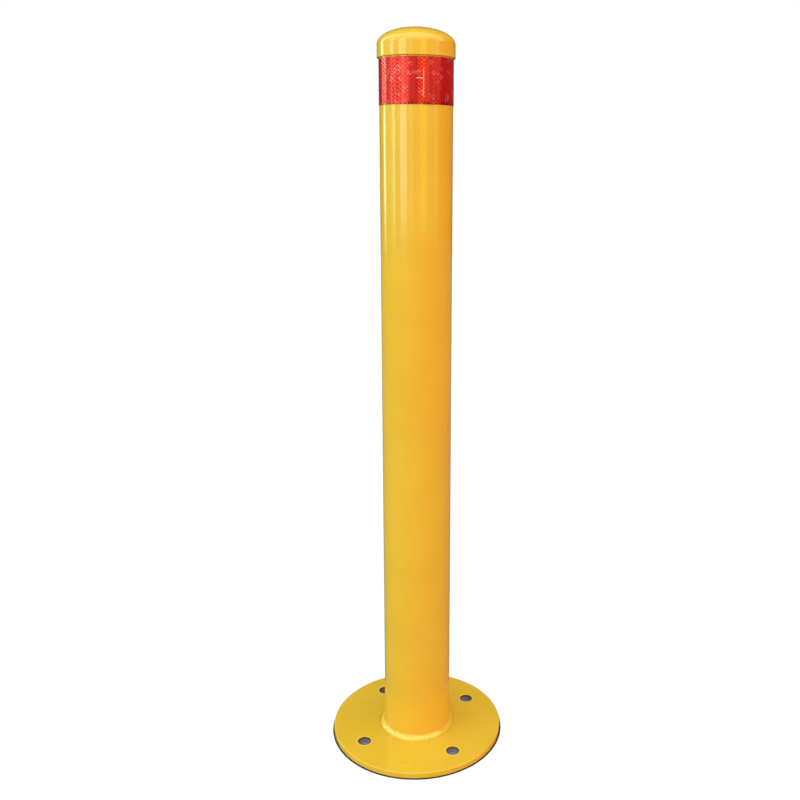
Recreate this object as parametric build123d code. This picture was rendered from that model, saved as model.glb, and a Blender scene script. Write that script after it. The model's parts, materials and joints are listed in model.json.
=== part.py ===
"""Bolt-down steel safety bollard with a round base plate, in millimetres.

+Z is up and the origin is the centre of the base plate's underside, where it meets the ground.
"""

import os
from math import cos, degrees, radians, sin, sqrt

from build123d import *

# Post tube: electric-welded steel pipe, nominal bore 80.
tube_diameter = 88.9
tube_wall = 3.2
tube_length = 900.0
tube_end_bevel = 0.5  # burr taken off the sawn top end
flash_width = 3.0  # bead that the pipe's seam leaves inside it
flash_height = 0.8
flash_angle = 101.0  # round the tube, from +X

# Base plate: a laser-cut steel disc with anchor holes.
plate_diameter = 230.0
plate_thickness = 8.0
plate_edge_radius = 1.2
anchor_circle = 170.0
anchor_count = 4
anchor_angle = 45.0  # first hole, from +X
anchor_hole = 17.5
anchor_hole_edge_radius = 0.5

# Fillet weld, all round the foot of the tube.
weld_leg = 6.0
weld_crown = 0.6  # how far the weld's face bulges past flat

# Dome cap: pressed steel, pushed over the tube's top end.
cap_wall = 2.5
cap_clearance = 0.1  # radial room for the cap over the tube
cap_skirt = 15.6  # straight part of the cap below its dome
cap_rise = 20.0  # height of the dome
cap_lip_radius = 0.8

# Retroreflective film, wrapped once round the tube and lapped over its own start.
film_width = 53.0
film_thickness = 0.5
film_lap = 12.0  # length of the double layer
film_ramp = 5.0  # length over which the top layer comes back down to the tube
film_gap = 1.4  # below the cap's lip
film_end_angle = -67.6  # where the top layer's cut end lies, from +X

# What follows from them.
tube_radius = tube_diameter / 2
tube_foot = plate_thickness
tube_top = tube_foot + tube_length

cap_inner_radius = tube_radius + cap_clearance
cap_outer_radius = cap_inner_radius + cap_wall
# The lower corner of the tube's bevel bears on the dome's curved inside, this far above the dome's foot.
cap_seat = (cap_rise - cap_wall) * sqrt(1 - (tube_radius / cap_inner_radius) ** 2)
cap_dome_foot = tube_top - tube_end_bevel - cap_seat
cap_lip = cap_dome_foot - cap_skirt

film_top = cap_lip - film_gap
film_foot = film_top - film_width


def polar(radius, angle):
    """The point at that radius and angle in degrees, in the XY plane."""
    return (radius * cos(radians(angle)), radius * sin(radians(angle)))


def base_plate():
    """Disc on the ground with its rims and hole rims rounded."""
    plate = Cylinder(plate_diameter / 2, plate_thickness, align=(Align.CENTER, Align.CENTER, Align.MIN))
    plate = fillet(plate.edges(), plate_edge_radius)
    drill = Cylinder(anchor_hole / 2, plate_thickness, align=(Align.CENTER, Align.CENTER, Align.MIN))
    places = PolarLocations(anchor_circle / 2, anchor_count, start_angle=anchor_angle)
    plate -= places * drill
    hole_rims = plate.edges().filter_by(
        lambda edge: edge.geom_type == GeomType.CIRCLE and abs(edge.radius - anchor_hole / 2) < 0.01
    )
    return fillet(hole_rims, anchor_hole_edge_radius)


def post_tube():
    """Pipe standing on the plate, its top rim bevelled, with the seam's flash down its inside."""
    inner_radius = tube_radius - tube_wall
    wall = Circle(tube_radius) - Circle(inner_radius)
    tube = Pos(0, 0, tube_foot) * extrude(wall, tube_length)
    rims = tube.edges().filter_by(GeomType.CIRCLE)
    top_rim = rims.sort_by(lambda edge: (edge.center().Z, edge.radius))[-1]
    tube = chamfer(top_rim, tube_end_bevel)
    # The flash is a low rounded ridge, as wide as flash_width where it meets the wall.
    ridge_radius = (flash_width**2 / 4 + flash_height**2) / (2 * flash_height)
    ridge_centre = polar(inner_radius - flash_height + ridge_radius, flash_angle)
    ridge = Pos(*ridge_centre) * Circle(ridge_radius)
    ridge &= Circle(tube_radius - tube_wall / 2)
    return tube + Pos(0, 0, tube_foot) * extrude(ridge, tube_length - tube_end_bevel)


def base_weld():
    """Ring of weld metal with a bulging face, against the tube and the plate."""
    toe_on_plate = (tube_radius + weld_leg, tube_foot)
    toe_on_tube = (tube_radius, tube_foot + weld_leg)
    corner = (tube_radius, tube_foot)
    outward = weld_leg / 2 + weld_crown / sqrt(2)
    crown = (tube_radius + outward, tube_foot + outward)
    with BuildPart() as weld:
        with BuildSketch(Plane.XZ):
            with BuildLine():
                Polyline(toe_on_tube, corner, toe_on_plate)
                ThreePointArc(toe_on_plate, crown, toe_on_tube)
            make_face()
        revolve(axis=Axis.Z)
    return weld.part


def quarter_ellipse(radius, rise):
    """Exact quarter ellipse in the section's plane, from the skirt's top up to the axis."""
    side = (radius, cap_dome_foot)
    corner = (radius, cap_dome_foot + rise)
    pole = (0, cap_dome_foot + rise)
    return Bezier(side, corner, pole, weights=(1, sqrt(0.5), 1))


def dome_cap():
    """Half-elliptical dome with a straight skirt that goes over the tube."""
    inner_rise = cap_rise - cap_wall
    with BuildPart() as cap:
        with BuildSketch(Plane.XZ):
            with BuildLine():
                quarter_ellipse(cap_outer_radius, cap_rise)
                Line((0, cap_dome_foot + cap_rise), (0, cap_dome_foot + inner_rise))
                quarter_ellipse(cap_inner_radius, inner_rise)
                Line((cap_inner_radius, cap_dome_foot), (cap_inner_radius, cap_lip))
                Line((cap_inner_radius, cap_lip), (cap_outer_radius - cap_lip_radius, cap_lip))
                RadiusArc(
                    (cap_outer_radius - cap_lip_radius, cap_lip),
                    (cap_outer_radius, cap_lip + cap_lip_radius),
                    -cap_lip_radius,
                )
                Line((cap_outer_radius, cap_lip + cap_lip_radius), (cap_outer_radius, cap_dome_foot))
            make_face()
        revolve(axis=Axis.Z)
    return cap.part


def reflective_band():
    """One turn of film with a short double layer, whose end steps down at film_end_angle."""
    single = tube_radius + film_thickness
    double = tube_radius + 2 * film_thickness
    lap_end = film_end_angle + degrees(film_lap / tube_radius)
    ramp_end = lap_end + degrees(film_ramp / tube_radius)
    middle_of_ramp = polar((single + double) / 2, (lap_end + ramp_end) / 2)
    middle_of_lap = polar(double, (film_end_angle + lap_end) / 2)
    far_side = polar(single, (film_end_angle + ramp_end) / 2 + 180)
    with BuildPart() as band:
        with BuildSketch(Plane.XY.offset(film_foot)):
            with BuildLine():
                Line(polar(single, film_end_angle), polar(double, film_end_angle))
                ThreePointArc(polar(double, film_end_angle), middle_of_lap, polar(double, lap_end))
                ThreePointArc(polar(double, lap_end), middle_of_ramp, polar(single, ramp_end))
                ThreePointArc(polar(single, ramp_end), far_side, polar(single, film_end_angle))
            make_face()
            Circle(tube_radius, mode=Mode.SUBTRACT)
        extrude(amount=film_width)
    return band.part


os.makedirs("parts", exist_ok=True)
for sub_part in (base_plate, post_tube, base_weld, dome_cap, reflective_band):
    export_step(sub_part(), f"parts/{sub_part.__name__}.step")
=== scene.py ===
"""A bolt-down steel safety bollard: base plate, tube, weld, cap and reflective band."""

import json
from math import asin, atan2, cos, degrees, pi, radians, sin

import bmesh
import bpy
from mathutils import Matrix, Vector


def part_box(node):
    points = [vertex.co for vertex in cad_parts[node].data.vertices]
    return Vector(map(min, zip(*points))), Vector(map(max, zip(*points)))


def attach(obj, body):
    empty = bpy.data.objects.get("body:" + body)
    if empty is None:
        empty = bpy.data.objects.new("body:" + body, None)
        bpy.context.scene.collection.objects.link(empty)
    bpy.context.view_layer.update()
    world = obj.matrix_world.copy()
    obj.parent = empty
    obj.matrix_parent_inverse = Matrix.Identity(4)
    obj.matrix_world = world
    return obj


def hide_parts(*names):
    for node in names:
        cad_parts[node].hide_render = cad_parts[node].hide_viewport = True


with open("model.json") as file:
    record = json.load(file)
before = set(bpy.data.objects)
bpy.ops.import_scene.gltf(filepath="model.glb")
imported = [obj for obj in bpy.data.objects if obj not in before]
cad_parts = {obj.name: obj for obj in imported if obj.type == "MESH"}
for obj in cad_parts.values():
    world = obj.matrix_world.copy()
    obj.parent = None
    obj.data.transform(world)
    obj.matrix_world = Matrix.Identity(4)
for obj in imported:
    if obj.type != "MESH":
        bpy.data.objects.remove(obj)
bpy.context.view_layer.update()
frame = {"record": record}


# --- Base plate -------------------------------------------------------------------------
# A disc of 8 mm steel, cut by laser, with four holes for anchor bolts on one circle. Its
# rims are rubbed round so that the coat holds on them. It is powder coated all over with
# the tube and the weld, and it stands flat on the ground.


class Wire:
    """One output in a material's node tree. Arithmetic on wires adds Math nodes."""

    def __init__(self, tree, socket=None):
        self.tree, self.socket = tree, socket

    def node(self, kind, settings=None, sockets=None, out=0):
        """Adds a node, makes its settings, then gives its sockets their values or wires."""
        made = self.tree.nodes.new(kind)
        for name, value in (settings or {}).items():
            setattr(made, name, value)
        for name, value in (sockets or {}).items():
            if isinstance(value, Wire):
                self.tree.links.new(value.socket, made.inputs[name])
            else:
                made.inputs[name].default_value = value
        return Wire(self.tree, made.outputs[out] if made.outputs else None)

    def math(self, operation, *values):
        return self.node("ShaderNodeMath", {"operation": operation}, dict(enumerate(values)))

    def __add__(self, other):
        return self.math("ADD", self, other)

    def __sub__(self, other):
        return self.math("SUBTRACT", self, other)

    def __rsub__(self, other):
        return self.math("SUBTRACT", other, self)

    def __mul__(self, other):
        return self.math("MULTIPLY", self, other)

    def __truediv__(self, other):
        return self.math("DIVIDE", self, other)

    __radd__ = __add__
    __rmul__ = __mul__

    def axes(self):
        """The x, y and z of this wire's vector."""
        parts = self.node("ShaderNodeSeparateXYZ", sockets={"Vector": self})
        return [Wire(self.tree, socket) for socket in parts.socket.node.outputs]

    def distance(self, point):
        """How far this wire's place is from a point."""
        sockets = {0: self, 1: point}
        return self.node("ShaderNodeVectorMath", {"operation": "DISTANCE"}, sockets, out="Value")

    def scaled(self, factor):
        """This wire's colour, brighter or dimmer by the factor."""
        sockets = {"Vector": self, "Scale": factor}
        return self.node("ShaderNodeVectorMath", {"operation": "SCALE"}, sockets)

    def step(self, low, high):
        """0 at low and below, 1 at high and above, smooth between."""
        sockets = {"Value": self, "From Min": low, "From Max": high}
        return self.node("ShaderNodeMapRange", {"interpolation_type": "SMOOTHSTEP"}, sockets)

    def band(self, low, high, soft):
        """1 between low and high, falling to 0 over the soft distance each side of an edge."""
        return self.step(low - soft, low + soft) * (1 - self.step(high - soft, high + soft))

    def tint(self, first, second):
        """The first colour where this wire is 0, and the second where it is 1."""
        sockets = {"Factor": self, 6: first, 7: second}
        return self.node("ShaderNodeMix", {"data_type": "RGBA"}, sockets, out=2)


def deselect():
    bpy.ops.object.select_all(action="DESELECT")


def pick(piece, mode, test):
    """Goes into edit mode on the piece and selects just the parts that pass the test."""
    bpy.context.view_layer.objects.active = piece
    bpy.ops.object.mode_set(mode="EDIT")
    bpy.ops.mesh.select_mode(type=mode)
    bpy.ops.mesh.select_all(action="DESELECT")
    shape = bmesh.from_edit_mesh(piece.data)
    parts = {"VERT": shape.verts, "EDGE": shape.edges, "FACE": shape.faces}[mode]
    for part in parts:
        if test(part):
            part.select_set(True)
    shape.select_flush_mode()
    bmesh.update_edit_mesh(piece.data)


def apply_modifier(piece, kind, **settings):
    """Adds a modifier to the piece, sets it up and applies it."""
    bpy.ops.object.mode_set(mode="OBJECT")
    bpy.context.view_layer.objects.active = piece
    added = piece.modifiers.new(kind.title(), kind)
    for name, value in settings.items():
        setattr(added, name, value)
    bpy.ops.object.modifier_apply(modifier=added.name)


def finish_piece(piece, name, material, node):
    """Puts a finished piece's origin at the frame's, shades, names and coats it, hangs it on the root body
    and hides its CAD node.
    """
    bpy.ops.object.mode_set(mode="OBJECT")
    deselect()
    piece.select_set(True)
    bpy.context.view_layer.objects.active = piece
    bpy.ops.object.transform_apply(location=True, rotation=True, scale=True)
    bpy.ops.object.shade_smooth_by_angle(angle=radians(35))
    apply_modifier(piece, "WEIGHTED_NORMAL", keep_sharp=True, weight=100)
    piece.name = piece.data.name = name
    piece.data.materials.clear()
    piece.data.materials.append(material)
    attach(piece, "root")
    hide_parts(node)


def flat_distance(point, x=0.0, y=0.0):
    """How far the point is from an upright line, seen from above."""
    return ((point.x - x) ** 2 + (point.y - y) ** 2) ** 0.5


def powder_coat(name, add_marks_and_painted_light):
    """Glossy yellow powder coat. The given function adds a piece's own marks, and on some pieces painted
    shade and painted highlights, to its colour, roughness and height.
    """
    material = bpy.data.materials.new(name)
    material.use_nodes = True
    tree = material.node_tree
    tree.nodes.clear()
    start = Wire(tree)
    place = start.node("ShaderNodeTexCoord", out="Object")

    # The coat is a little thicker in places, where its yellow is deeper.
    cloud = start.node("ShaderNodeTexNoise", sockets={"Vector": place, "Scale": 17, "Detail": 3})
    colour = cloud.step(0.3, 0.7).tint((0.82, 0.405, 0.019, 1), (0.85, 0.430, 0.022, 1))

    # Orange peel: the cured surface ripples at about 3 mm, with a finer grain and a slow wave.
    peel = start.node("ShaderNodeTexNoise", sockets={"Vector": place, "Scale": 330, "Detail": 1})
    grain = start.node("ShaderNodeTexNoise", sockets={"Vector": place, "Scale": 1100, "Detail": 1})
    wave = start.node("ShaderNodeTexNoise", sockets={"Vector": place, "Scale": 45, "Detail": 1})
    height = peel * 0.045 + grain * 0.008 + wave * 0.06

    # Dust that settled before curing leaves a few nibs, some with a dark speck.
    cells = start.node("ShaderNodeTexVoronoi", sockets={"Vector": place, "Scale": 34})
    cell_colour = Wire(tree, cells.socket.node.outputs["Color"])
    chance = start.node("ShaderNodeSeparateColor", sockets={"Color": cell_colour})
    nib = (1 - cells.step(0.012, 0.028)) * chance.step(0.62, 0.66)
    colour = (nib * 0.55).tint(colour, (0.20, 0.09, 0.012, 1))
    height = height + nib * 0.03

    roughness = cloud * 0.04 + grain * 0.03 + 0.07
    colour, roughness, height = add_marks_and_painted_light(start, place, colour, roughness, height)
    bump = start.node("ShaderNodeBump", sockets={"Distance": 0.001, "Strength": 1.0, "Height": height})
    surface = start.node(
        "ShaderNodeBsdfPrincipled",
        sockets={
            "Base Color": colour,
            "Roughness": roughness,
            "Normal": bump,
            "IOR": 1.5,
            "Specular IOR Level": 0.42,
        },
    )
    start.node("ShaderNodeOutputMaterial", sockets={"Surface": surface})
    return material


plate_low, plate_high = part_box("base_plate")
plate_radius = (plate_high.x - plate_low.x) / 2
plate_top = plate_high.z
plate_rim_round = 0.0012
bolt_circle = frame["record"]["mounts"][0]["dims"]
bolt_circle_radius = bolt_circle["pcd_mm"] / 2000
hole_radius = bolt_circle["hole_r_mm"] / 1000
hole_rim_round = 0.0005
first_hole_angle = 45
hole_step_angle = 360 / bolt_circle["count"]
hole_angles = [radians(first_hole_angle + hole_step_angle * turn) for turn in range(bolt_circle["count"])]
hole_places = [(bolt_circle_radius * cos(angle), bolt_circle_radius * sin(angle)) for angle in hole_angles]

deselect()
bpy.ops.mesh.primitive_cylinder_add(
    vertices=288, radius=plate_radius, depth=plate_top, location=(0, 0, plate_top / 2)
)
base_plate = bpy.context.object
bpy.ops.object.transform_apply(location=True)
pick(base_plate, "EDGE", lambda edge: abs(edge.verts[0].co.z - edge.verts[1].co.z) < 1e-6)
bpy.ops.mesh.bevel(offset=plate_rim_round, segments=5, affect="EDGES")
bpy.ops.object.mode_set(mode="OBJECT")

for x, y in hole_places:
    deselect()
    bpy.ops.mesh.primitive_cylinder_add(
        vertices=72, radius=hole_radius, depth=plate_top * 3, location=(x, y, plate_top / 2)
    )
    drill = bpy.context.object
    apply_modifier(base_plate, "BOOLEAN", operation="DIFFERENCE", object=drill, solver="EXACT")
    bpy.data.objects.remove(drill)


def on_hole_rim(edge):
    """True for an edge of a hole's round mouth."""
    if abs(edge.verts[0].co.z - edge.verts[1].co.z) > 1e-6:
        return False
    return any(
        all(abs(flat_distance(vert.co, x, y) - hole_radius) < 2e-5 for vert in edge.verts)
        for x, y in hole_places
    )


pick(base_plate, "EDGE", on_hole_rim)
bpy.ops.mesh.bevel(offset=hole_rim_round, segments=4, affect="EDGES")
bpy.ops.mesh.select_all(action="SELECT")
bpy.ops.mesh.remove_doubles(threshold=1e-6)
bpy.ops.object.mode_set(mode="OBJECT")


def plate_marks_with_painted_light(start, place, colour, roughness, height):
    """Thin coat darkened by painted shade inside the holes, a painted highlight ring round each, and a
    darker mottled band along the weld's toe.
    """
    x, y, z = place.axes()
    from_middle = start.math("SQRT", x * x + y * y)
    # The four holes lie alike in the four quarters, so one distance serves them all.
    across = start.math("ABSOLUTE", x) - hole_places[0][0]
    along = start.math("ABSOLUTE", y) - hole_places[0][1]
    from_hole = start.math("SQRT", across * across + along * along)
    mottle = start.node("ShaderNodeTexNoise", sockets={"Vector": place, "Scale": 140, "Detail": 4})

    # Round each hole's mouth the coat stands up a little and is painted a lighter yellow: a painted
    # highlight on the rim.
    rim_ridge_and_painted_highlight = from_hole.band(hole_radius + 0.0004, hole_radius + 0.0018, 0.0006)
    colour = (rim_ridge_and_painted_highlight * 0.8).tint(colour, (0.95, 0.58, 0.06, 1))
    height = height + rim_ridge_and_painted_highlight * 0.12
    # Inside the holes the coat is thin, and its colour there is painted shade: dark brown high on the
    # walls, grey low down.
    inside = 1 - from_hole.step(hole_radius - 0.0001, hole_radius + 0.0004)
    painted_hole_shade = z.step(0.0032, 0.0046).tint((0.24, 0.225, 0.27, 1), (0.085, 0.036, 0.008, 1))
    colour = (inside * 0.93).tint(colour, painted_hole_shade)
    roughness = roughness + inside * 0.35

    # A darker, mottled band runs along the weld's toe, and dust lies in patches near the rim.
    toe_band_and_rim_dust = from_middle.band(0.0502, 0.0530, 0.0014) * mottle.step(0.42, 0.66)
    toe_band_and_rim_dust = toe_band_and_rim_dust + from_middle.step(plate_radius - 0.004, plate_radius) * mottle.step(0.55, 0.75) * 0.4
    colour = (toe_band_and_rim_dust * 0.28).tint(colour, (0.33, 0.20, 0.06, 1))
    roughness = roughness + toe_band_and_rim_dust * 0.15

    # A chip down to the primer, and two short scuffs near it.
    chip = 1 - place.distance((0.0020, -0.0946, plate_top)).step(0.0004, 0.0011)
    colour = (chip * 0.75).tint(colour, (0.12, 0.07, 0.02, 1))
    height = height - chip * 0.1
    scuff = (x * 0.8 + y * 0.6).band(-0.0612, -0.0609, 0.0002)
    scuff = scuff * (x * 0.6 - y * 0.8).band(0.072, 0.083, 0.002)
    roughness = roughness + scuff * mottle.step(0.4, 0.6) * 0.2

    # Below, where the plate was laid down to cure, the coat is dull and rubbed through in patches.
    below = 1 - z.step(0.0002, 0.0009)
    rubbed = below * mottle.step(0.50, 0.62)
    colour = (below * 0.35).tint(colour, (0.30, 0.19, 0.06, 1))
    colour = (rubbed * 0.6).tint(colour, (0.20, 0.17, 0.14, 1))
    roughness = roughness + below * 0.3
    return colour, roughness, height - rubbed * 0.08


finish_piece(base_plate, "BasePlate", powder_coat("PlateCoat", plate_marks_with_painted_light), "base_plate")


# --- Post tube --------------------------------------------------------------------------
# A length of welded steel pipe, 88.9 mm across, standing square on the plate. It is sawn
# to length, its upper rim is freed of burrs, and it is powder coated outside.

tube_low, tube_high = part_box("post_tube")
tube_radius = 0.0889 / 2
tube_wall = 0.0032
tube_end_bevel = 0.0005

deselect()
bpy.ops.mesh.primitive_cylinder_add(
    vertices=256,
    radius=tube_radius,
    depth=tube_high.z - tube_low.z,
    end_fill_type="NOTHING",
    location=(0, 0, (tube_low.z + tube_high.z) / 2),
)
post_tube = bpy.context.object
bpy.ops.object.transform_apply(location=True)
apply_modifier(post_tube, "SOLIDIFY", thickness=tube_wall, offset=-1, use_rim=True)
pick(
    post_tube,
    "EDGE",
    lambda edge: all(
        abs(vert.co.z - tube_high.z) < 1e-6 and abs(flat_distance(vert.co) - tube_radius) < 1e-5
        for vert in edge.verts
    ),
)
bpy.ops.mesh.bevel(offset=tube_end_bevel, segments=1, affect="EDGES")


def tube_wear(start, place, colour, roughness, height):
    """The pipe's own seam shows faintly through the coat, and handling has dulled a few patches."""
    x, y, z = place.axes()
    seam = (start.math("ARCTAN2", y, x) * tube_radius).band(0.0772, 0.0796, 0.0006)
    height = height - seam * 0.05
    drawn = start.node("ShaderNodeVectorMath", {"operation": "MULTIPLY"}, {0: place, 1: (260, 260, 9)})
    lines = start.node("ShaderNodeTexNoise", sockets={"Vector": drawn, "Scale": 1, "Detail": 2})
    height = height + lines * 0.012
    patches = start.node(
        "ShaderNodeTexNoise", sockets={"Vector": place, "Scale": 13, "Detail": 5, "Roughness": 0.65}
    )
    dulled = patches.step(0.60, 0.70)
    roughness = roughness + dulled * 0.10
    foot = (1 - z.step(0.010, 0.060)) * patches.step(0.40, 0.62)
    colour = (foot * 0.14).tint(colour, (0.45, 0.25, 0.04, 1))
    return colour, roughness + foot * 0.08, height


finish_piece(post_tube, "PostTube", powder_coat("TubeCoat", tube_wear), "post_tube")


# --- Base weld --------------------------------------------------------------------------
# One run of fillet weld round the foot of the tube, which joins it to the plate. The run
# bulges a little past flat, and it overlaps its own start at one place. The coat covers it.

weld_low, weld_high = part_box("base_weld")
weld_leg = weld_high.z - weld_low.z
weld_bulge = 0.0006
weld_steps = 480
ripple_steps = 5
# The face is an arc from toe to toe, whose middle stands out from the straight line between them.
toe_span = weld_leg * 2**0.5
face_radius = (toe_span**2 / 4 + weld_bulge**2) / (2 * weld_bulge)
face_half_angle = asin(toe_span / 2 / face_radius)
between_toes = Vector((tube_radius + weld_leg / 2, 0, plate_top + weld_leg / 2))
face_centre = between_toes - Vector((1, 0, 1)).normalized() * (face_radius - weld_bulge)

deselect()
bpy.ops.mesh.primitive_circle_add(vertices=3, radius=0.001, location=(tube_radius + weld_leg, 0, plate_top))
base_weld = bpy.context.object
bpy.ops.object.transform_apply(location=True)
bpy.ops.object.mode_set(mode="EDIT")
bpy.ops.mesh.select_mode(type="VERT")
bpy.ops.mesh.select_all(action="SELECT")
bpy.ops.mesh.merge(type="CENTER")
bpy.ops.mesh.spin(steps=12, angle=2 * face_half_angle, center=face_centre, axis=(0, 1, 0))
bpy.ops.mesh.extrude_region_move(TRANSFORM_OT_translate={"value": (0, 0, -weld_leg)})
bpy.ops.mesh.extrude_region_move(TRANSFORM_OT_translate={"value": (weld_leg, 0, 0)})
bpy.ops.mesh.select_all(action="SELECT")
bpy.ops.mesh.remove_doubles(threshold=1e-6)
bpy.ops.mesh.spin(steps=weld_steps, angle=2 * pi, center=(0, 0, 0), axis=(0, 0, 1))
bpy.ops.mesh.select_all(action="SELECT")
bpy.ops.mesh.remove_doubles(threshold=1e-6)
bpy.ops.mesh.normals_make_consistent(inside=False)


def swell(upper, lower, out, angle_test):
    """Moves part of the weld's face outward, from upper to lower: 0 at the tube, 1 at the plate."""

    def chosen(vert):
        across = (flat_distance(vert.co) - tube_radius) / weld_leg
        if not upper < across < lower or vert.co.z < plate_top + 1e-5:
            return False
        return angle_test(degrees(atan2(vert.co.y, vert.co.x)))

    pick(base_weld, "VERT", chosen)
    bpy.ops.transform.translate(value=(0, 0, out))
    widen = 1 + out / (tube_radius + weld_leg / 2)
    bpy.ops.transform.resize(value=(widen, widen, 1), center_override=(0, 0, 0))


# Each ripple is five steps long. Its front is steeper than its back, as the metal froze.
step_angle = 360 / weld_steps
for step, out in enumerate((0.00000, 0.00012, 0.00024, 0.00030, 0.00014)):
    for upper, lower, share in ((0.06, 0.94, 0.4), (0.2, 0.8, 0.6)):
        swell(upper, lower, out * share, lambda angle: round(angle / step_angle) % ripple_steps == step)
# The run's height also wanders a little as the torch was moved on.
for first, last, out in (
    (-172, -160, 0.0002),
    (-140, -131, -0.00015),
    (-122, -113, 0.0002),
    (-98, -92, -0.00015),
    (-78, -70, 0.00015),
    (-63, -57, 0.0002),
    (20, 33, 0.0002),
    (70, 81, -0.0002),
    (115, 131, 0.0002),
):
    swell(0.12, 0.88, out, lambda angle: first < angle < last)
# Where the run stops it overlaps its start: two ridges with a groove between them.
for first, last in ((-50, -26), (-46, -29), (-42, -31)):
    swell(0.10, 0.36, 0.00016, lambda angle: first < angle < last)
    swell(0.62, 0.93, 0.00016, lambda angle: first < angle < last)
for first, last in ((-38, -21), (-35, -24)):
    swell(0.36, 0.62, -0.0004, lambda angle: first < angle < last)


def weld_texture_with_painted_light(start, place, colour, roughness, height):
    """Painted shade, a deeper yellow, along the toes, in the dips and in the groove past the stop, and a
    painted highlight, a paler yellow, on the crests of the front.
    """
    x, y = place.axes()[:2]
    out = (start.math("SQRT", x * x + y * y) - tube_radius) / weld_leg
    toes = 1 - out.step(0.02, 0.16) * (1 - out.step(0.84, 0.98))
    angle = start.math("ARCTAN2", y, x) * (180 / pi)
    dips = start.math("PINGPONG", angle / (step_angle * ripple_steps) + out * 0.35, 0.5) * 2
    coarse = start.node("ShaderNodeTexNoise", sockets={"Vector": place, "Scale": 300, "Detail": 3})
    # A painted highlight: the crests on the front are painted a paler yellow.
    front = angle.step(-165, -135) * (1 - angle.step(-27, -21))
    painted_crest_highlight = out.band(0.40, 0.90, 0.12) * front * coarse.step(0.34, 0.50)
    colour = (painted_crest_highlight * 0.75).tint(colour, (0.92, 0.64, 0.06, 1))
    # Painted shade: the toes, the dips and the groove past the stop are painted a deeper yellow.
    groove = out.band(0.42, 0.62, 0.08) * angle.band(-37, -23, 2)
    painted_crease_shade = toes * 0.35 + dips.step(0.55, 1.0) * 0.2 + groove * 0.6
    colour = painted_crease_shade.tint(colour, (0.62, 0.27, 0.012, 1))
    return colour, roughness + toes * 0.08, height + coarse * 0.3 + dips * 0.10


finish_piece(base_weld, "BaseWeld", powder_coat("WeldCoat", weld_texture_with_painted_light), "base_weld")


# --- Dome cap ---------------------------------------------------------------------------
# A cap pressed from 2.5 mm steel sheet: a low dome on a straight skirt, open below. It is
# powder coated like the tube, and pushed over its top end until the rim bears in the dome.

cap_low, cap_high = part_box("dome_cap")
cap_radius = (cap_high.x - cap_low.x) / 2
cap_wall = 0.0025
cap_rise = 0.020
cap_spring = cap_high.z - cap_rise
cap_lip_round = 0.0008
bead = 0.00018  # how far the thick coat along the lip stands out
skirt_radius = cap_radius - bead

deselect()
bpy.ops.mesh.primitive_uv_sphere_add(
    segments=192, ring_count=96, radius=skirt_radius, location=(0, 0, cap_spring)
)
dome_cap = bpy.context.object
bpy.ops.object.transform_apply(location=True)
pick(dome_cap, "VERT", lambda vert: vert.co.z < cap_spring - 1e-5)
bpy.ops.mesh.delete(type="VERT")
bpy.ops.mesh.select_all(action="SELECT")
bpy.ops.transform.resize(value=(1, 1, cap_rise / skirt_radius), center_override=(0, 0, cap_spring))
bpy.ops.object.mode_set(mode="OBJECT")
pick(dome_cap, "EDGE", lambda edge: edge.is_boundary)
# The skirt goes down in rings: straight, out over the bead and on to the lip.
last_z, last_radius = cap_spring, skirt_radius
for ring_z, ring_radius in (
    (cap_low.z + 0.0042, skirt_radius),
    (cap_low.z + 0.0032, cap_radius - bead * 0.7),
    (cap_low.z + 0.0024, cap_radius - bead * 0.15),
    (cap_low.z + 0.0018, cap_radius),
    (cap_low.z, cap_radius),
):
    bpy.ops.mesh.extrude_region_move(TRANSFORM_OT_translate={"value": (0, 0, ring_z - last_z)})
    widen = ring_radius / last_radius
    bpy.ops.transform.resize(value=(widen, widen, 1), center_override=(0, 0, 0))
    last_z, last_radius = ring_z, ring_radius
bpy.ops.object.mode_set(mode="OBJECT")
apply_modifier(dome_cap, "SOLIDIFY", thickness=cap_wall, offset=-1, use_rim=True)


def on_lip(edge):
    """True for the outer and inner edges round the cap's open end."""
    first, second = edge.verts
    level = all(abs(vert.co.z - cap_low.z) < 1e-5 for vert in edge.verts)
    return level and abs(flat_distance(first.co) - flat_distance(second.co)) < 1e-5


pick(dome_cap, "EDGE", on_lip)
bpy.ops.mesh.bevel(offset=cap_lip_round, segments=4, affect="EDGES")


def cap_marks_with_painted_shade(start, place, colour, roughness, height):
    """Nibs in the coat near the lip, painted shade (a deeper yellow) along the lip's lower edge, and rubbed
    marks on the crown.
    """
    z = place.axes()[2]
    for spot in (
        (-0.0035, -0.0469, 0.8965),
        (-0.0011, -0.0470, 0.8953),
        (-0.0062, -0.0466, 0.8962),
        (0.0310, 0.0353, 0.9010),
    ):
        speck = 1 - place.distance(spot).step(0.0002, 0.0009)
        colour = (speck * 0.6).tint(colour, (0.22, 0.13, 0.02, 1))
        height = height + speck * 0.15
    # The lip's lower edge is painted a deeper yellow: painted shade under the lip.
    painted_lip_shade = 1 - z.step(cap_low.z + 0.0002, cap_low.z + 0.0012)
    colour = (painted_lip_shade * 0.4).tint(colour, (0.55, 0.25, 0.012, 1))
    rubs = start.node(
        "ShaderNodeTexNoise", sockets={"Vector": place, "Scale": 90, "Detail": 5, "Roughness": 0.7}
    )
    crown = z.step(cap_spring + 0.008, cap_high.z) * rubs.step(0.52, 0.66)
    return colour, roughness + crown * 0.12, height


finish_piece(dome_cap, "DomeCap", powder_coat("CapCoat", cap_marks_with_painted_shade), "dome_cap")


# --- Reflective band --------------------------------------------------------------------
# A strip of red prismatic reflective film, 53 mm wide, stuck round the tube just under the
# cap. It goes once round and laps over its own start.

band_low, band_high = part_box("reflective_band")
film_thickness = 0.0005
film_end = radians(-67.6)  # where the top layer's cut end lies, from +X
film_lap = 0.012 / tube_radius  # the double layer's length, as an angle round the tube
film_ramp = 0.005 / tube_radius  # and that of the slope down from it
diamonds_round = 62

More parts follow.
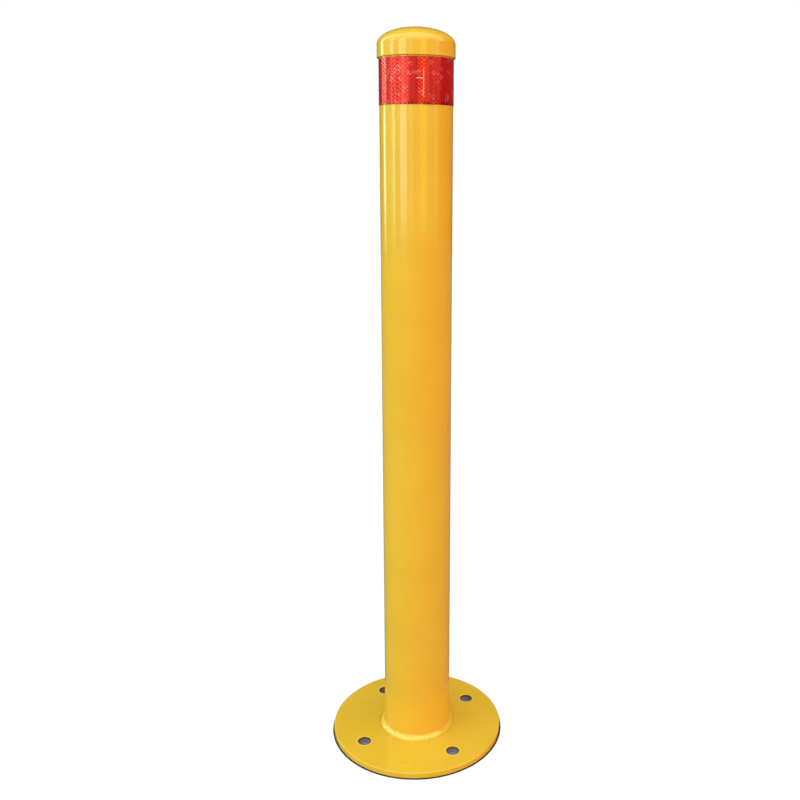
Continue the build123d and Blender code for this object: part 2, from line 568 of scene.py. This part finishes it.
deselect()
bpy.ops.mesh.primitive_circle_add(vertices=3, radius=0.001, location=(0, 0, band_low.z))
reflective_band = bpy.context.object
bpy.ops.object.transform_apply(location=True)
bpy.ops.object.mode_set(mode="EDIT")
bpy.ops.mesh.select_mode(type="VERT")
bpy.ops.mesh.select_all(action="SELECT")
bpy.ops.mesh.merge(type="CENTER")
double = tube_radius + 2 * film_thickness
single = tube_radius + film_thickness
bpy.ops.transform.translate(value=(double * cos(film_end), double * sin(film_end), 0))
bpy.ops.mesh.extrude_region_move(TRANSFORM_OT_translate={"value": (0, 0, band_high.z - band_low.z)})
bpy.ops.mesh.select_all(action="SELECT")
bpy.ops.mesh.subdivide(number_cuts=9)
bpy.ops.mesh.spin(steps=10, angle=film_lap, center=(0, 0, 0), axis=(0, 0, -1))
ramp_steps = 6
for count in range(ramp_steps):
    bpy.ops.mesh.spin(steps=1, angle=film_ramp / ramp_steps, center=(0, 0, 0), axis=(0, 0, -1))
    before = double + (single - double) * count / ramp_steps
    after = double + (single - double) * (count + 1) / ramp_steps
    bpy.ops.transform.resize(value=(after / before, after / before, 1), center_override=(0, 0, 0))
bpy.ops.mesh.spin(steps=240, angle=2 * pi - film_ramp, center=(0, 0, 0), axis=(0, 0, -1))
bpy.ops.mesh.select_all(action="SELECT")
bpy.ops.mesh.normals_make_consistent(inside=False)
apply_modifier(reflective_band, "SOLIDIFY", thickness=film_thickness, offset=-1, use_rim=True)

film = bpy.data.materials.new("RedFilm")
film.use_nodes = True
film.node_tree.nodes.clear()
sheet = Wire(film.node_tree)
place = sheet.node("ShaderNodeTexCoord", out="Object")
x, y, z = place.axes()
around = sheet.math("ARCTAN2", y, x) * tube_radius

# Sealed lines cross on the film and divide it into diamonds, whose faces lean a little.
cell = 2 * pi * tube_radius / diamonds_round
one_way = sheet.math("PINGPONG", (around + z) / cell, 0.5)
other_way = sheet.math("PINGPONG", (around - z) / cell, 0.5)
nearest = sheet.math("MINIMUM", one_way, other_way)
height = nearest * 0.24 + one_way * 0.08

# The diamonds are the film's own pattern; in patches their seal lines or rising faces are painted pale: a
# painted glint of light on the film's layers.
patch = sheet.node("ShaderNodeTexNoise", sockets={"Vector": place, "Scale": 75, "Detail": 1})
rising = 1 - one_way.step(0.16, 0.28)
net = 1 - nearest.step(0.09, 0.17)
pale = sheet.math("MAXIMUM", net * patch.step(0.60, 0.66), rising * (1 - patch.step(0.33, 0.40)) * 0.6)
colour = (pale * 0.55).tint((0.78, 0.015, 0.009, 1), (0.90, 0.31, 0.27, 1))
cloud = sheet.node("ShaderNodeTexNoise", sockets={"Vector": place, "Scale": 30, "Detail": 2})
colour = (cloud.step(0.35, 0.65) * 0.3).tint(colour, (0.55, 0.010, 0.022, 1))

# Dirt gets into the cut cells along the lower edge, in small dark triangles.
up = z - band_low.z
tooth = sheet.math("PINGPONG", around / cell, 0.5) * 0.012
dirty = (1 - (up - tooth * patch.step(0.40, 0.60)).step(-0.0004, 0.0004)) * 0.8
# Along the top edge the film is darkened: painted shadow under the cap's lip. A thin darker line runs along
# the lower edge too.
edge = 1 - up.step(0.0002, 0.0007) + up.step(band_high.z - band_low.z - 0.0010, band_high.z - band_low.z)
colour = (dirty + edge * 0.5).tint(colour, (0.16, 0.003, 0.006, 1))

# The top layer's cut end shows the white backing, and a short nick runs off beside it.
past = around - film_end * tube_radius
cut = past.band(-0.0004, 0.0003, 0.0002) * up.band(0.010, 0.040, 0.001)
nick = past.band(-0.0083, -0.0004, 0.0003) * up.band(0.0288, 0.0295, 0.0002)
white = sheet.math("MAXIMUM", cut * 0.45, nick * 0.9)
colour = white.tint(colour, (0.85, 0.72, 0.66, 1))
height = height - nick * 0.3

bump = sheet.node("ShaderNodeBump", sockets={"Distance": 0.001, "Strength": 1.0, "Height": height})
surface = sheet.node(
    "ShaderNodeBsdfPrincipled",
    sockets={
        "Base Color": colour,
        "Metallic": (1 - white) * 0.42,
        "Roughness": cloud * 0.05 + 0.07,
        "Normal": bump,
        "IOR": 1.5,
        "Specular IOR Level": 0.4,
        "Specular Tint": (1.0, 0.95, 0.75, 1),
    },
)
sheet.node("ShaderNodeOutputMaterial", sockets={"Surface": surface})
finish_piece(reflective_band, "ReflectiveBand", film, "reflective_band")


# --- Floor, light and camera ------------------------------------------------------------
# A plain pale floor in a soft white room, with tall soft panels round the tube. The room
# and the floor look white to the camera and stay dim in the coat, as with black flags.

view_from = radians(11.48)  # round from -Y towards +X
camera_reach = 1.1249  # from the tube's axis
camera_height = 0.7762
heading, dip, roll = radians(2.43), radians(12.37), radians(0.44)

deselect()
bpy.ops.mesh.primitive_plane_add(size=12, location=(0, 0, 0))
floor = bpy.context.object
floor.name = floor.data.name = "Floor"
pale = bpy.data.materials.new("PaleFloor")
pale.use_nodes = True
pale.node_tree.nodes.clear()
ground = Wire(pale.node_tree)
seen = ground.node("ShaderNodeLightPath", out="Is Camera Ray")
glossy = ground.node("ShaderNodeLightPath", out="Is Glossy Ray")
place = ground.node("ShaderNodeTexCoord", out="Object")
# Under the plate, and just out from its rim all round, the floor is in shadow.
away = ground.node("ShaderNodeVectorMath", {"operation": "LENGTH"}, {0: place}, out="Value")
open_floor = away.step(plate_radius + 0.0010, plate_radius + 0.0030)
beneath = away.step(plate_radius - 0.012, plate_radius - 0.008)
lit = seen.tint(glossy.tint((0.42, 0.37, 0.34, 1), (0.13, 0.13, 0.13, 1)), (0.96, 0.96, 0.96, 1))
shade = open_floor.tint(beneath.tint((0.28, 0.245, 0.27, 1), (0.01, 0.01, 0.01, 1)), lit)
paint = ground.node("ShaderNodeBsdfDiffuse", sockets={"Color": shade})
glow = ground.node("ShaderNodeEmission", sockets={"Strength": 1.06})
both = ground.node("ShaderNodeMixShader", sockets={0: seen * open_floor * 0.9, 1: paint, 2: glow})
ground.node("ShaderNodeOutputMaterial", sockets={"Surface": both})
floor.data.materials.append(pale)


world = bpy.data.worlds.new("SoftRoom")
bpy.context.scene.world = world
world.use_nodes = True
world.node_tree.nodes.clear()
room = Wire(world.node_tree)
outward = room.node("ShaderNodeTexCoord", out="Generated")


def lean(x, y):
    """How far a direction in the room points along a level direction of the camera's."""
    along = (x * cos(view_from) - y * sin(view_from), x * sin(view_from) + y * cos(view_from), 0)
    sockets = {0: outward, 1: along}
    return room.node("ShaderNodeVectorMath", {"operation": "DOT_PRODUCT"}, sockets, out="Value")


rightness, frontness = lean(1, 0), lean(0, -1)
height = outward.axes()[2]

# The walls' soft light: cooler on the left, warmer on the right, and weak behind.
side = rightness.step(-0.9, 0.5).tint((1.44, 2.08, 2.5, 1), (1.42, 0.80, 0.7, 1))
dome = height.step(0.35, 0.8).tint(side, (1.02, 1.58, 2.3, 1))
low_fill = (1 - frontness.step(-0.8, -0.2)) * (1 - height.step(0.1, 0.5)) * 0.35
strength = frontness.step(-0.9, 0.35) + low_fill + 0.22
dome = dome.scaled(strength)

# What the coat mirrors: tall soft panels stand from one angle to another, counted round from
# the camera's side, with a wide soft panel overhead and a small lamp on the right.
turn = room.math("ARCTAN2", rightness, frontness) * (180 / pi)
wall = turn.band(-128, -9, 3).tint((0.06, 0.06, 0.06, 1), (0.45, 0.80, 0.65, 1))
panels = [
    (-122, -112, (3.4, 5.4, 4.6, 1)),
    (-89, -82, (0.4, 0.9, 0.4, 1)),
    (-80, -70, (2.4, 4.5, 3.8, 1)),
    (-52, -30, (2.2, 4.1, 3.6, 1)),
    (-22, -10, (0.5, 0.8, 0.6, 1)),
    (-4, 12, (0.3, 0.6, 0.4, 1)),
    (12, 33, (2.0, 2.6, 0.6, 1)),
    (36, 66, (0.3, 0.7, 0.5, 1)),
    (58, 72, (0.8, 1.0, 0.5, 1)),
]
for left, right, glow in panels:
    panel = turn.band(left, right, 1.0).tint((0, 0, 0, 1), glow)
    wall = room.node("ShaderNodeVectorMath", {"operation": "ADD"}, {0: wall, 1: panel})
wall = wall.scaled(height.step(-0.13, -0.02))
overhead = height.step(0.54, 0.60) * frontness.step(-0.30, -0.22)
mirrored = overhead.tint(wall, (1.6, 2.4, 2.2, 1))
lamp = height.band(0.25, 0.60, 0.1) * turn.band(72, 88, 3)
mirrored = lamp.tint(mirrored, (3.0, 4.5, 4.5, 1))

glossy = room.node("ShaderNodeLightPath", out="Is Glossy Ray")
seen = room.node("ShaderNodeLightPath", out="Is Camera Ray")
shade = seen.tint(glossy.tint(dome, mirrored), (1, 1, 1, 1))
air = room.node("ShaderNodeBackground", sockets={"Color": shade, "Strength": 1.0})
room.node("ShaderNodeOutputWorld", sockets={"Surface": air})

bpy.ops.object.camera_add(
    location=(camera_reach * sin(view_from), -camera_reach * cos(view_from), camera_height)
)
camera = bpy.context.object
camera.name = camera.data.name = "Camera"
ahead = Vector((sin(heading) * cos(dip), cos(heading) * cos(dip), -sin(dip)))
forward = Matrix.Rotation(view_from, 3, "Z") @ ahead
level = forward.cross(Vector((0, 0, 1))).normalized()
upward = level.cross(forward)
right = level * cos(roll) + upward * sin(roll)
up = upward * cos(roll) - level * sin(roll)
camera.rotation_euler = Matrix((right, up, -forward)).transposed().to_euler()
camera.data.sensor_width = 36
camera.data.lens = 40.55
camera.data.shift_x = -0.0675
camera.data.shift_y = -0.0561
bpy.context.scene.camera = camera
bpy.context.scene.view_settings.view_transform = "Standard"
